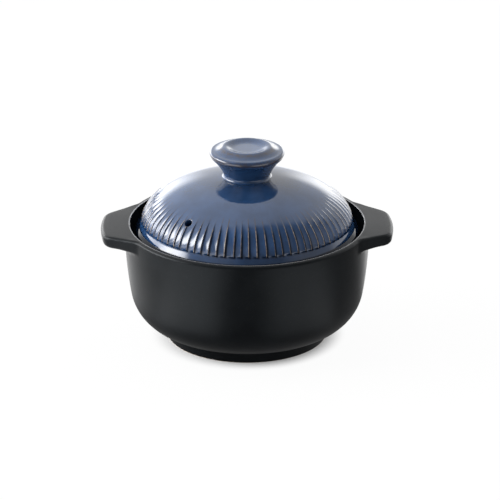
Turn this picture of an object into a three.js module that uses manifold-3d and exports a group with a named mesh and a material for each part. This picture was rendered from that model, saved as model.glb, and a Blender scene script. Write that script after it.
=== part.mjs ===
// A lidded ceramic cooking pot for the stovetop, in millimetres, with +Z up.
// The origin is the centre of the foot ring, on the surface that the pot stands on.
// The lugs point along X, and the steam hole is at the front, towards -Y.
// The bowl, its two lugs, the lid and its knob are formed apart and luted together before firing.
import * as THREE from 'three';
import { mergeVertices } from 'three/addons/utils/BufferGeometryUtils.js';
import Module from 'manifold-3d';

const wasm = await Module();
wasm.setup();

// Bowl, outside
const RIM_RADIUS = 90; // outer radius at the rim
const RIM_HEIGHT = 88; // top of the rim above the table
const WALL_ARC = 300; // slow bow of the wall, upright at the rim
const HEEL_ARC = 32; // tight curve from the wall down to the foot
const LIP_WIDTH = 3.6; // flat and rounding on top of the rim
const LIP_ROUND = 2.6; // outer rounding of the rim
const LIP_INNER_ROUND = 0.6; // crisp inner rounding of the rim

// Bowl, foot ring
const FOOT_RADIUS = 59; // outer radius on the table
const FOOT_DRAFT = 1.2; // how much wider the ring is at its top
const FOOT_HEIGHT = 8.5; // from the table to the start of the heel
const FOOT_RING_WIDTH = 7; // width of the unglazed ring
const FOOT_RECESS = 3; // height of the base above the table
const FOOT_ROUND = 1.2; // rounding of the ring's edges

// Bowl, inside
const WALL = 6;
const FLOOR = 7.5;
const INNER_HEEL_ARC = 30; // curve from the floor to the inner wall
const GALLEY_DEPTH = 7; // from the rim down to the ledge that carries the lid
const GALLEY_FLARE = 3.4; // how far the galley opens out towards the rim
const LEDGE_WIDTH = 6.5;
const LEDGE_NOSE = 4; // upright face at the ledge's inner edge
const LEDGE_UNDERCUT = 12; // height of the slope that carries the ledge
const LEDGE_ROUND = 1.5; // rounding of the ledge's inner edge

// Lugs
const LUG_REACH = 18; // how far a lug stands out past the rim
const LUG_TIP_HALF_WIDTH = 23.5; // where the flank would meet the tip, before rounding
const LUG_FLANK_ANGLE = THREE.MathUtils.degToRad(33); // how fast the lug widens towards its root
const LUG_CORNER = 11; // rounding of the tip's corners, seen from above
const LUG_ROOT_BLEND = 14; // hollow curve from the flank into the rim
const LUG_THICKNESS = 9;
const LUG_EDGE_ROUND = 3.2; // rounding of the lug's edge, seen from the side
const LUG_DROP = THREE.MathUtils.degToRad(5.5); // slope of the lug's top, down and outwards

// Lid
const LID_CLEARANCE = 1.2; // play between the lid's brim and the galley
const BRIM_WIDTH = 3.8; // brim outside the dome
const BRIM_THICKNESS = 2.1; // at its outer edge
const BRIM_FALL = 1.6; // how far the brim slopes down towards its outer edge
const BRIM_ROUND = 0.9; // rounding of the brim's edges
const BAND_SPREAD = 1.2; // how far the smooth band stands out past the dome where it meets the brim
const SHOULDER_HEIGHT = 6.2; // foot of the dome's curve above the lid's seat
const DOME_RISE = 37.5; // from the shoulder to the crown
const LID_WALL = 6;
const LID_SKIRT = 3; // upright part of the lid's inner wall
const VENT_DIAMETER = 3; // lets the hollow knob breathe in the kiln
const STEAM_HOLE_DIAMETER = 5.6;
const STEAM_HOLE_INSET = 11.4; // from the dome's edge to the hole, seen from above
const STEAM_HOLE_ANGLE = THREE.MathUtils.degToRad(41); // from the front, towards the left lug

// Flutes carved into the dome, which meet in sharp ridges and run out level into a smooth band
const FLUTE_COUNT = 80;
const FLUTE_DEPTH = 0.8;
const FLUTE_SIDE = 0.2; // share of a flute's width that rises to the ridge, on either side
const FLUTE_REACH = 18; // from the dome's edge to the upper end, seen from above
const FLUTE_BAND = 4.5; // lower end of the flutes above the foot of the dome's curve

// Knob
const KNOB_RADIUS = 27.6;
const KNOB_NECK_RADIUS = 16.9;
const KNOB_BASE_FLARE = 1.5; // how far the foot of the neck spreads on the dome
const KNOB_BASE_BLEND = 1.8; // height of that spread
const KNOB_HEIGHT = 23; // from the dome to the crest
const KNOB_EDGE_DROP = 5.6; // from the crest down to the widest point of the edge
const KNOB_EDGE_ROUND = 2.3; // rounding of the edge above its widest point
const KNOB_ROLL = 5; // height of the slow curve below it
const KNOB_ROLL_INSET = 2.2; // how far that curve starts inside the edge
const KNOB_STEP_RADIUS = 21.4; // where the shoulder swells up to the crest
const KNOB_CREST_RADIUS = 16.5;
const KNOB_DISH = 1.8; // depth of the dish inside the crest
const KNOB_HOLLOW_RADIUS = 10;
const KNOB_ROOF = 7.8; // clay between the dish and the hollow

// Clearances
const LUTE_GAP = 0.3; // slip layer between pieces that are luted together
const SEAT_GAP = 0.3; // between the lid and its ledge

// How finely round shapes are divided
const BOWL_SEGMENTS = 64;
const KNOB_SEGMENTS = 48;
const HOLE_SEGMENTS = 20;

// Heights and radii that several pieces share
const lipRound = Math.min(LIP_ROUND, LIP_WIDTH - LIP_INNER_ROUND);
const galleyRimRadius = RIM_RADIUS - LIP_WIDTH;
const galleyFloorRadius = galleyRimRadius - GALLEY_FLARE;
const mouthRadius = galleyFloorRadius - LEDGE_WIDTH;
const ledgeHeight = RIM_HEIGHT - GALLEY_DEPTH;
const floorHeight = FOOT_RECESS + FLOOR;
const seatHeight = ledgeHeight + SEAT_GAP;
const shoulderHeight = seatHeight + SHOULDER_HEIGHT;
const brimRadius = galleyFloorRadius - LID_CLEARANCE;
const domeRadius = brimRadius - BRIM_WIDTH;
const wallCentre = new THREE.Vector2(RIM_RADIUS - WALL_ARC, RIM_HEIGHT - lipRound);

const POT_BLACK = new THREE.MeshStandardMaterial({ color: 0x26282b, roughness: 0.5, metalness: 0 });
const LID_NAVY = new THREE.MeshStandardMaterial({ color: 0x1f3358, roughness: 0.12, metalness: 0 });

const point = (r, z) => new THREE.Vector2(r, z);
const angleFrom = (centre, p) => Math.atan2(p.y - centre.y, p.x - centre.x);

// Points along a round arc in the section plane, from one angle to another.
function arc(centre, radius, from, to, steps) {
  return new THREE.EllipseCurve(centre.x, centre.y, radius, radius, from, to, to < from).getPoints(steps);
}

// Points along an arc between two points that lie on it.
function arcBetween(centre, radius, start, end, steps) {
  return arc(centre, radius, angleFrom(centre, start), angleFrom(centre, end), steps);
}

// The rounded corner at b of the outline a, b, c.
function corner(a, b, c, radius, steps) {
  const back = a.clone().sub(b).normalize();
  const on = c.clone().sub(b).normalize();
  const half = Math.acos(THREE.MathUtils.clamp(back.dot(on), -1, 1)) / 2;
  const reach = radius / Math.tan(half);
  const start = b.clone().addScaledVector(back, reach);
  const end = b.clone().addScaledVector(on, reach);
  return new THREE.QuadraticBezierCurve(start, b, end).getPoints(steps);
}

// The point where two circles meet, on the left of the line from the first centre to the second.
function circlesMeet(c0, r0, c1, r1) {
  const between = c1.clone().sub(c0);
  const d = between.length();
  const along = (r0 * r0 - r1 * r1 + d * d) / (2 * d);
  const aside = Math.sqrt(r0 * r0 - along * along);
  const dir = between.divideScalar(d);
  return point(c0.x + dir.x * along - dir.y * aside, c0.y + dir.y * along + dir.x * aside);
}

// A closed surface as a manifold solid, without the empty triangles of a pole.
function solidOf(geometry) {
  const bare = geometry.clone();
  bare.deleteAttribute('normal');
  bare.deleteAttribute('uv');
  const merged = mergeVertices(bare, 1e-4);
  const index = merged.index.array;
  const kept = [];
  for (let i = 0; i < index.length; i += 3) {
    const [a, b, c] = index.slice(i, i + 3);
    if (a !== b && b !== c && c !== a) kept.push(a, b, c);
  }
  const vertProperties = merged.attributes.position.array;
  return new wasm.Manifold(new wasm.Mesh({ numProp: 3, vertProperties, triVerts: new Uint32Array(kept) }));
}

function geometryOf(solid) {
  const mesh = solid.getMesh();
  const geometry = new THREE.BufferGeometry();
  geometry.setAttribute('position', new THREE.BufferAttribute(new Float32Array(mesh.vertProperties), 3));
  geometry.setIndex(new THREE.BufferAttribute(new Uint32Array(mesh.triVerts), 1));
  geometry.computeVertexNormals();
  return geometry;
}

// A section in the plane of radius and height, turned about Z.
function turned(section, segments) {
  const geometry = new THREE.LatheGeometry(section, segments);
  geometry.rotateX(Math.PI / 2);
  return geometry;
}

function named(name, solid, material) {
  const mesh = new THREE.Mesh(geometryOf(solid), material);
  mesh.name = name;
  return mesh;
}

// The bowl's outer line from the foot's top to the middle of the rim.
// With a margin it is the same line, that far outside the clay.
function bowlOuterLine(margin) {
  const footTop = point(FOOT_RADIUS + FOOT_DRAFT, FOOT_HEIGHT);
  const heelCentre = circlesMeet(wallCentre, WALL_ARC - HEEL_ARC, footTop, HEEL_ARC);
  const heelAngle = angleFrom(wallCentre, heelCentre);
  const lipCentre = point(RIM_RADIUS - lipRound, RIM_HEIGHT - lipRound);
  return [
    ...arc(heelCentre, HEEL_ARC + margin, angleFrom(heelCentre, footTop), heelAngle, 7),
    ...arc(wallCentre, WALL_ARC + margin, heelAngle, 0, 3).slice(1),
    ...arc(lipCentre, lipRound + margin, 0, Math.PI / 2, 4).slice(1),
  ];
}

// The bowl: foot ring, wall, rim, the galley with the ledge that carries the lid, and the cooking space.
function bowl() {
  const ringInside = FOOT_RADIUS - FOOT_RING_WIDTH;
  const footTop = point(FOOT_RADIUS + FOOT_DRAFT, FOOT_HEIGHT);
  const foot = [
    point(0, FOOT_RECESS),
    point(ringInside - FOOT_RECESS / 2, FOOT_RECESS),
    point(ringInside, 0),
    ...corner(point(ringInside, 0), point(FOOT_RADIUS, 0), footTop, FOOT_ROUND, 2),
  ];

  const innerHeelCentre = point(0, floorHeight + INNER_HEEL_ARC);
  const toHeel = WALL_ARC - WALL - INNER_HEEL_ARC;
  const heelFall = innerHeelCentre.y - wallCentre.y;
  innerHeelCentre.x = wallCentre.x + Math.sqrt(toHeel * toHeel - heelFall * heelFall);
  const slopeFoot = ledgeHeight - LEDGE_NOSE - LEDGE_UNDERCUT;
  const slopeFootAngle = Math.asin((slopeFoot - wallCentre.y) / (WALL_ARC - WALL));
  const innerHeelAngle = angleFrom(wallCentre, innerHeelCentre);

  const rimInside = point(galleyRimRadius, RIM_HEIGHT);
  const galleyFoot = point(galleyFloorRadius, ledgeHeight);
  const ledgeEdge = point(mouthRadius, ledgeHeight);
  const noseFoot = point(mouthRadius, ledgeHeight - LEDGE_NOSE);
  const inside = [
    ...corner(point(RIM_RADIUS, RIM_HEIGHT), rimInside, galleyFoot, LIP_INNER_ROUND, 2),
    galleyFoot,
    ...corner(galleyFoot, ledgeEdge, noseFoot, LEDGE_ROUND, 2),
    noseFoot,
    ...arc(wallCentre, WALL_ARC - WALL, slopeFootAngle, innerHeelAngle, 2),
    ...arc(innerHeelCentre, INNER_HEEL_ARC, innerHeelAngle, -Math.PI / 2, 7).slice(1),
    point(0, floorHeight),
  ];
  return solidOf(turned([...foot, ...bowlOuterLine(0), ...inside], BOWL_SEGMENTS));
}

// Everything inside the bowl's outer line, with the slip layer, for cutting a piece to the bowl.
function bowlEnvelope() {
  const line = bowlOuterLine(LUTE_GAP);
  const crest = line[line.length - 1];
  const overRim = crest.y + LUG_THICKNESS;
  const section = [point(0, line[0].y), ...line, point(crest.x, overRim), point(0, overRim)];
  return solidOf(turned(section, BOWL_SEGMENTS));
}

// The outline of a lug from above, with the pot's axis at the origin and the lug along +X.
// A flank runs straight between a rounded corner at the tip and a hollow curve into the rim.
function lugOutline() {
  const tipRadius = RIM_RADIUS + LUG_REACH;
  const tipX = Math.sqrt(tipRadius ** 2 - LUG_TIP_HALF_WIDTH ** 2);
  const tip = point(tipX, LUG_TIP_HALF_WIDTH);
  const along = point(-Math.cos(LUG_FLANK_ANGLE), Math.sin(LUG_FLANK_ANGLE));
  const outwards = point(Math.sin(LUG_FLANK_ANGLE), Math.cos(LUG_FLANK_ANGLE));

  // A circle's centre at a distance from the axis and at a set-off from the flank's line.
  const centreOn = (distance, setOff, side) => {
    const start = tip.clone().addScaledVector(outwards, setOff);
    const half = start.dot(along);
    const step = -half + side * Math.sqrt(half * half - start.lengthSq() + distance * distance);
    return start.addScaledVector(along, step);
  };
  const cornerCentre = centreOn(tipRadius - LUG_CORNER, -LUG_CORNER, -1);
  const blendCentre = centreOn(RIM_RADIUS + LUG_ROOT_BLEND, LUG_ROOT_BLEND, -1);
  const cornerStart = cornerCentre.clone().setLength(tipRadius);
  const cornerEnd = cornerCentre.clone().addScaledVector(outwards, LUG_CORNER);
  const blendStart = blendCentre.clone().addScaledVector(outwards, -LUG_ROOT_BLEND);
  const blendEnd = blendCentre.clone().setLength(RIM_RADIUS);
  const tipAngle = cornerStart.angle();

  const axis = point(0, 0);
  const flank = [
    ...arcBetween(cornerCentre, LUG_CORNER, cornerStart, cornerEnd, 5),
    ...arcBetween(blendCentre, LUG_ROOT_BLEND, blendStart, blendEnd, 5),
  ];
  const rootRadius = RIM_RADIUS - 4 * LUG_EDGE_ROUND; // well inside the wall, where the bowl cuts it
  const root = blendEnd.clone().setLength(rootRadius);
  const half = [...arc(axis, tipRadius, 0, tipAngle, 2).slice(1, -1), ...flank, root];
  const mirrored = half.map((p) => point(p.x, -p.y)).reverse();
  const innerArc = arc(axis, rootRadius, root.angle(), -root.angle(), 8).slice(1, -1);
  return new THREE.Shape([point(tipRadius, 0), ...half, ...innerArc, ...mirrored]);
}

// One lug: a rounded plate, level with the rim at its root and falling away to its tip,
// cut to the bowl's outside.
function lug(turn) {
  const edge = Math.min(LUG_EDGE_ROUND, 0.45 * LUG_THICKNESS);
  const plate = new THREE.ExtrudeGeometry(lugOutline(), {
    depth: LUG_THICKNESS - 2 * edge,
    bevelThickness: edge,
    bevelSize: edge,
    bevelOffset: -edge,
    bevelSegments: 3,
    steps: 1,
  });
  const crest = RIM_RADIUS - lipRound;
  plate.translate(-crest, 0, edge - LUG_THICKNESS);
  plate.rotateY(LUG_DROP);
  plate.translate(crest, 0, RIM_HEIGHT);
  plate.rotateZ(turn);
  return solidOf(plate).subtract(bowlEnvelope());
}

// A point of the dome's outer line at an angle of its ellipse, sunk into the clay by a depth.
function domePoint(angle, depth) {
  const across = Math.cos(angle) / domeRadius;
  const up = Math.sin(angle) / DOME_RISE;
  const length = Math.hypot(across, up);
  const r = domeRadius * Math.cos(angle) - (depth * across) / length;
  const z = shoulderHeight + DOME_RISE * Math.sin(angle) - (depth * up) / length;
  return point(r, z);
}

const domeAngleAt = (radius) => Math.acos(radius / domeRadius);
const domeHeightAt = (radius) => domePoint(domeAngleAt(radius), 0).y;

// One ring of points about Z, with points at the given shares of each flute's width.
// The line says where a point lies in the section plane at such a share.
function ring(shares, line) {
  const points = [];
  for (let flute = 0; flute < FLUTE_COUNT; flute += 1) {
    for (const share of shares) {
      const p = line(share);
      const turn = (2 * Math.PI * (flute + share)) / FLUTE_COUNT;
      points.push(new THREE.Vector3(p.x * Math.cos(turn), p.x * Math.sin(turn), p.y));
    }
  }
  return points;
}

const plainRing = (p) => ring([0], () => p);

// A ring of flutes at a share of their length. A flute fades in from above, with its ridges
// where one flute meets the next.
function flutedRing(along, upperAngle, lowerAngle) {
  const angle = THREE.MathUtils.lerp(upperAngle, lowerAngle, along);
  const ridge = domePoint(angle, 0);
  const floor = domePoint(angle, FLUTE_DEPTH * THREE.MathUtils.smoothstep(along, 0, 0.6));
  return ring([0, FLUTE_SIDE, 1 - FLUTE_SIDE], (share) => (share === 0 ? ridge : floor));
}

// A closed surface through rings, the last joined to the first.
// Of two neighbours, one may have a whole number of times as many points as the other.
function throughRings(rings) {
  const firstOf = [];
  let total = 0;
  for (const points of rings) {
    firstOf.push(total);
    total += points.length;
  }
  const index = [];
  rings.forEach((lower, k) => {
    const next = (k + 1) % rings.length;
    const upper = rings[next];
    const steps = Math.max(lower.length, upper.length);
    const at = (points, first, i) => first + (Math.round((i * points.length) / steps) % points.length);
    for (let i = 0; i < steps; i += 1) {
      const a0 = at(lower, firstOf[k], i);
      const a1 = at(lower, firstOf[k], i + 1);
      const b0 = at(upper, firstOf[next], i);
      const b1 = at(upper, firstOf[next], i + 1);
      if (b0 !== b1) index.push(a0, b0, b1);
      if (a0 !== a1) index.push(a0, b1, a1);
    }
  });
  const geometry = new THREE.BufferGeometry().setFromPoints(rings.flat());
  geometry.setIndex(index);
  return geometry;
}

// The lid's section below the flutes: the smooth band, the sloping brim with its rounded edge, and the seat.
function brimLine(lowerAngle) {
  const bandTop = domePoint(lowerAngle, FLUTE_DEPTH);
  const brimRoot = point(domeRadius + BAND_SPREAD, seatHeight + BRIM_THICKNESS + BRIM_FALL);
  const brimTop = point(brimRadius, seatHeight + BRIM_THICKNESS);
  const brimFoot = point(brimRadius, seatHeight);
  const seatInside = point(domeRadius - LID_WALL, seatHeight);
  return [
    bandTop,
    ...corner(bandTop, brimRoot, brimTop, BRIM_ROUND, 1),
    ...corner(brimRoot, brimTop, brimFoot, BRIM_ROUND, 2),
    ...corner(brimTop, brimFoot, seatInside, BRIM_ROUND, 2),
    seatInside,
  ];
}

// The steam hole's drill, square to the dome.
function steamDrill() {
  const angle = domeAngleAt(domeRadius - STEAM_HOLE_INSET);
  const start = domePoint(angle, 2 * LID_WALL);
  const end = domePoint(angle, -LID_WALL);
  const middle = start.clone().add(end).divideScalar(2);
  const radius = STEAM_HOLE_DIAMETER / 2;
  const drill = new THREE.CylinderGeometry(radius, radius, start.distanceTo(end), HOLE_SEGMENTS);
  drill.rotateZ(angleFrom(start, end) - Math.PI / 2);
  drill.translate(middle.x, middle.y, 0);
  drill.rotateX(Math.PI / 2);
  drill.rotateZ(-Math.PI / 2 - STEAM_HOLE_ANGLE);
  return solidOf(drill);
}

// The lid: a fluted dome with a smooth band and a brim, which sits inside the rim.
function lidDome() {
  const vent = VENT_DIAMETER / 2;
  const upperAngle = domeAngleAt(domeRadius - FLUTE_REACH);
  const lowerAngle = Math.asin(FLUTE_BAND / DOME_RISE);
  const crownRadii = [vent, KNOB_HOLLOW_RADIUS, KNOB_NECK_RADIUS + KNOB_BASE_FLARE];
  const crown = crownRadii.map((r) => point(r, domeHeightAt(r)));
  const crownAngle = domeAngleAt(KNOB_NECK_RADIUS + KNOB_BASE_FLARE);
  const upperAngles = [1 / 3, 2 / 3, 1].map((share) => THREE.MathUtils.lerp(crownAngle, upperAngle, share));
  const upperDome = upperAngles.map((angle) => domePoint(angle, 0));

  const innerRadius = domeRadius - LID_WALL;
  const innerFoot = seatHeight + LID_SKIRT;
  const innerRise = shoulderHeight + DOME_RISE - LID_WALL - innerFoot;
  const insideAt = (t) => point(innerRadius * Math.cos(t), innerFoot + innerRise * Math.sin(t));
  const ventAngle = Math.acos(vent / innerRadius);
  const inside = Array.from({ length: 9 }, (_, i) => insideAt((ventAngle * i) / 8));

  const rings = [
    ...[...crown, ...upperDome].map(plainRing),
    ...[0.2, 0.4, 0.65, 0.95].map((along) => flutedRing(along, upperAngle, lowerAngle)),
    ...[...brimLine(lowerAngle), ...inside].map(plainRing),
  ];
  return solidOf(throughRings(rings)).subtract(steamDrill());
}

// The knob: a flared neck, hollow from below, with a rolled edge, and a crest with a shallow dish on top.
function knob() {
  const foot = domeHeightAt(KNOB_NECK_RADIUS) + LUTE_GAP;
  const crest = foot + KNOB_HEIGHT;
  const onDome = (r) => point(r, domeHeightAt(r) + LUTE_GAP);

  const dishFoot = point(0, crest - KNOB_DISH);
  const ceiling = dishFoot.y - KNOB_ROOF;
  const hollowFoot = onDome(KNOB_HOLLOW_RADIUS);
  const hollowRound = Math.min(KNOB_HOLLOW_RADIUS, ceiling - hollowFoot.y) / 2;
  const hollowCorner = point(KNOB_HOLLOW_RADIUS - hollowRound, ceiling - hollowRound);

  const base = onDome(KNOB_NECK_RADIUS + KNOB_BASE_FLARE);
  const neck = point(KNOB_NECK_RADIUS, foot + KNOB_BASE_BLEND);
  const spread = new THREE.QuadraticBezierCurve(base, point(KNOB_NECK_RADIUS, base.y), neck);

  const edge = point(KNOB_RADIUS, crest - KNOB_EDGE_DROP);
  const rollFoot = point(KNOB_RADIUS - KNOB_ROLL_INSET, edge.y - KNOB_ROLL);
  const roll = new THREE.QuadraticBezierCurve(rollFoot, point(edge.x, (rollFoot.y + edge.y) / 2), edge);
  const edgeCentre = point(KNOB_RADIUS - KNOB_EDGE_ROUND, edge.y);
  const edgeTop = point(edgeCentre.x, edge.y + KNOB_EDGE_ROUND);
  const crestPoint = point(KNOB_CREST_RADIUS, crest);
  const swell = new THREE.CubicBezierCurve(
    edgeTop,
    point(KNOB_STEP_RADIUS, edgeTop.y),
    point((KNOB_STEP_RADIUS + KNOB_CREST_RADIUS) / 2, crest),
    crestPoint,
  );
  const dishEdge = point(KNOB_CREST_RADIUS / 2, dishFoot.y);
  const dish = new THREE.CubicBezierCurve(
    crestPoint,
    point(KNOB_CREST_RADIUS * 0.86, crest),
    point(KNOB_CREST_RADIUS * 0.74, dishFoot.y),
    dishEdge,
  );

  const section = [
    point(0, ceiling),
    ...arc(hollowCorner, hollowRound, Math.PI / 2, 0, 3),
    hollowFoot,
    ...spread.getPoints(3),
    ...roll.getPoints(3),
    ...arc(edgeCentre, KNOB_EDGE_ROUND, 0, Math.PI / 2, 3).slice(1),
    ...swell.getPoints(5).slice(1),
    ...dish.getPoints(3).slice(1),
    dishFoot,
  ];
  return solidOf(turned(section, KNOB_SEGMENTS));
}

const pot = new THREE.Group();
pot.add(
  named('pot_body', bowl(), POT_BLACK),
  named('right_lug', lug(0), POT_BLACK),
  named('left_lug', lug(Math.PI), POT_BLACK),
);

const lid = new THREE.Group();
lid.add(named('lid_dome', lidDome(), LID_NAVY), named('lid_knob', knob(), LID_NAVY));

const cookingPot = new THREE.Group();
cookingPot.add(pot, lid);

export default cookingPot;
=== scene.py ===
# %% [markdown]
# # A stoneware cooking pot with a carved, glazed lid
# This lesson dresses a measured model of a small cooking pot. The model comes as plain solids, one for the
# bowl, one for each lug, one for the lid and one for its knob. They are right in size but faceted. The
# steps below turn the bowl, the lid and the knob on Blender's own potter's wheel, the spin operator, pull
# the lugs out of the bowl's rim, and glaze everything.

# %% Load the measured solids
import math
import random
from bisect import bisect_right

import bmesh
import bpy
from mathutils import Euler, Matrix, Vector


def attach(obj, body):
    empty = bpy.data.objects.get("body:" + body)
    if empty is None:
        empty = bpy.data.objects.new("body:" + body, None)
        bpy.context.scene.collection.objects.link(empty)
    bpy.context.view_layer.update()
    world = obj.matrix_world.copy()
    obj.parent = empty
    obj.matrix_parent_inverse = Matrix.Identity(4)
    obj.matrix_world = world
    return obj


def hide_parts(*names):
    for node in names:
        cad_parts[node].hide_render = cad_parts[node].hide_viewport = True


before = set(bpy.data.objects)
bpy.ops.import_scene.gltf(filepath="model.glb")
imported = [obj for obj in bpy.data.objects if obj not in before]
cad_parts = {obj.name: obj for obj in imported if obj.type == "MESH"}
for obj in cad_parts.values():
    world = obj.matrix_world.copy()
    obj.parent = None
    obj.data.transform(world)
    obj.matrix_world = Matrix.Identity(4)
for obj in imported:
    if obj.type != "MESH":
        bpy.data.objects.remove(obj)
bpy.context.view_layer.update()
MM = 0.001
print("solids:", ", ".join(sorted(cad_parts)))

# %% [markdown]
# ## The camera
# A picture taken with a long lens from three metres away shows almost no perspective, so the rim is a clean
# ellipse. Its height and width give the angle above the table. The camera could be aimed with a constraint,
# but a tilt and a turn worked out from the place of the foot in the frame are exact and stay put.

# %% Set up the camera
PICTURE_SIZE = 500  # pixels, square
CAMERA_DISTANCE = 2.9736
CAMERA_HEIGHT_ANGLE = math.radians(23.1)
CAMERA_SIDE_ANGLE = math.radians(-1.3)  # a little to the left of straight ahead
PIXELS_PER_METRE = 1344.3  # at the middle of the foot
FOOT_IN_PICTURE = (246.8, 331.5)
SENSOR_WIDTH = 36.0

focal_pixels = PIXELS_PER_METRE * CAMERA_DISTANCE
tilt_up = math.atan((FOOT_IN_PICTURE[1] - PICTURE_SIZE / 2) / focal_pixels)
turn_right = math.atan((PICTURE_SIZE / 2 - FOOT_IN_PICTURE[0]) / focal_pixels)
backwards = Vector((0, -math.cos(CAMERA_HEIGHT_ANGLE), math.sin(CAMERA_HEIGHT_ANGLE)))

camera = bpy.data.objects.new("camera", bpy.data.cameras.new("camera"))
camera.data.sensor_width = SENSOR_WIDTH
camera.data.lens = focal_pixels / PICTURE_SIZE * SENSOR_WIDTH
camera.location = Matrix.Rotation(CAMERA_SIDE_ANGLE, 3, "Z") @ (backwards * CAMERA_DISTANCE)
camera.rotation_euler = Euler(
    (math.pi / 2 - CAMERA_HEIGHT_ANGLE + tilt_up, 0, CAMERA_SIDE_ANGLE - turn_right)
)
bpy.context.collection.objects.link(camera)
bpy.context.scene.camera = camera
bpy.context.scene.view_settings.view_transform = "Standard"
print("lens in mm:", round(camera.data.lens, 1))

# %% [markdown]
# ## Nodes without clutter
# A material is a small graph. Making each node takes several lines, so the first helper takes the node's
# kind, the values of its sockets and its settings in one call. A socket given another node's output is
# linked to it. The other helpers make the kinds of node that come up again and again, and return the output
# that is of use.

# %% Helpers for nodes and materials
def add_node(tree, kind, inputs=None, **settings):
    """Adds a node, sets its settings, and fills its sockets with values or links."""
    node = tree.nodes.new(kind)
    for name, value in settings.items():
        setattr(node, name, value)
    for socket, value in (inputs or {}).items():
        if isinstance(value, bpy.types.NodeSocket):
            tree.links.new(value, node.inputs[socket])
        else:
            node.inputs[socket].default_value = value
    return node


def new_material(name):
    """A new material, its node tree and its Principled shader."""
    material = bpy.data.materials.new(name)
    material.use_nodes = True
    shader = material.node_tree.nodes["Principled BSDF"]
    return material, material.node_tree, shader


def object_place(tree):
    """Where a point lies in its object, in metres."""
    return add_node(tree, "ShaderNodeTexCoord").outputs["Object"]


def noise(tree, place, scale, detail=2.0):
    """Soft noise. A higher scale makes it finer."""
    sockets = {"Vector": place, "Scale": scale, "Detail": detail}
    return add_node(tree, "ShaderNodeTexNoise", sockets).outputs["Fac"]


def mix_colours(tree, factor, first, second):
    """A colour between two, each a colour or the output of a node."""
    node = add_node(tree, "ShaderNodeMix", {"Factor": factor, "A": first, "B": second}, data_type="RGBA")
    return node.outputs["Result"]


def mapped(tree, value, low, high, to_low, to_high, curve="LINEAR"):
    """A value moved from one range to another, and kept inside it."""
    sockets = {"Value": value, "From Min": low, "From Max": high, "To Min": to_low, "To Max": to_high}
    return add_node(tree, "ShaderNodeMapRange", sockets, interpolation_type=curve).outputs["Result"]


def computed(tree, operation, *values):
    """The result of a Math node."""
    return add_node(tree, "ShaderNodeMath", dict(enumerate(values)), operation=operation).outputs["Value"]


def vector_computed(tree, operation, *values):
    """A Vector Math node, whose result is its Value or its Vector."""
    return add_node(tree, "ShaderNodeVectorMath", dict(enumerate(values)), operation=operation)


print("helpers for nodes are ready")

# %% Helpers for light
WHITE = (1, 1, 1, 1)


def eased(tree, value, low, high, to_low, to_high):
    """A value moved from one range to another with a soft start and end."""
    return mapped(tree, value, low, high, to_low, to_high, "SMOOTHSTEP")


def along(tree, way, aim):
    """How far a way points in the direction of an aim."""
    return vector_computed(tree, "DOT_PRODUCT", way, aim).outputs["Value"]


def sector(tree, way, middle, core, rim, strength):
    """Light around a middle direction, full up to its core angle and gone at its rim angle, in degrees."""
    turn = math.radians(middle)
    towards = along(tree, way, (math.sin(turn), -math.cos(turn), 0))
    return eased(tree, towards, math.cos(math.radians(rim)), math.cos(math.radians(core)), 0, strength)


def white_light(tree, strength):
    return add_node(tree, "ShaderNodeEmission", {"Color": WHITE, "Strength": strength}).outputs["Emission"]


def mix_shaders(tree, factor, first, second):
    return add_node(tree, "ShaderNodeMixShader", {0: factor, 1: first, 2: second}).outputs["Shader"]


print("helpers for light are ready")

# %% [markdown]
# ## The table
# The pot stands on a seamless white table. Seen from above the horizon, a wide flat sheet fills the whole
# picture, so no backdrop is needed. A faint mottle keeps it from being one dead colour. As on a real light
# table, a share of its white comes from below, which thins the shadow but for the part right at the foot.
# The upright side of the pot mirrors nothing but the table, so for reflections the table has a dim tone of
# its own, with the broad sheens that windows leave on it to the left, to the right and behind.

# %% Lay the table
TABLE_SIDE = 40.0

table_bm = bmesh.new()
bmesh.ops.create_grid(table_bm, x_segments=8, y_segments=8, size=TABLE_SIDE / 2)
table_mesh = bpy.data.meshes.new("table")
table_bm.to_mesh(table_mesh)
table_bm.free()
table = bpy.data.objects.new("table", table_mesh)
bpy.context.collection.objects.link(table)
print("table side in m:", TABLE_SIDE)

# %% Paint the table and light it from below
TABLE_GREYS = (0.79, 0.79, 0.79, 1), (0.81, 0.81, 0.81, 1)
MOTTLE_SCALE = 3.0
TABLE_GLOW = 0.96  # how much of the table is lit from below, as the camera sees it
FOOT_GLOW = 0.2 * TABLE_GLOW  # the same right at the foot
GLOW_START, GLOW_FULL = 0.056, 0.074  # distances from the pot's axis between which the glow sets in

table_paint, tree, shader = new_material("table_paint")
place = object_place(tree)
mottled = mix_colours(tree, noise(tree, place, MOTTLE_SCALE), *TABLE_GREYS)
tree.links.new(mottled, shader.inputs["Base Color"])
shader.inputs["Roughness"].default_value = 0.9
shader.inputs["Specular IOR Level"].default_value = 0.1

ray = add_node(tree, "ShaderNodeLightPath")
distance = vector_computed(tree, "LENGTH", place).outputs["Value"]
glow = eased(tree, distance, GLOW_START, GLOW_FULL, FOOT_GLOW, TABLE_GLOW)
glow_seen = computed(tree, "MULTIPLY", ray.outputs["Is Camera Ray"], glow)
lit_table = mix_shaders(tree, glow_seen, shader.outputs["BSDF"], white_light(tree, 1.0))
print("glow of the table:", TABLE_GLOW, "and at the foot:", round(FOOT_GLOW, 2))

# %% Give the table its tone in reflections
MIRRORED_TONE = 0.28
SHEEN_START, SHEEN_FULL = 0.085, 0.15  # distances from the pot's axis between which the sheens set in
# Each sheen: its direction from the pot, its full and its outer half-width in degrees, and its brightness.
SHEENS = ((-45, 10, 32, 2.6), (-92, 14, 36, 0.95), (40, 12, 34, 1.5), (180, 40, 75, 1.8))

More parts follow.
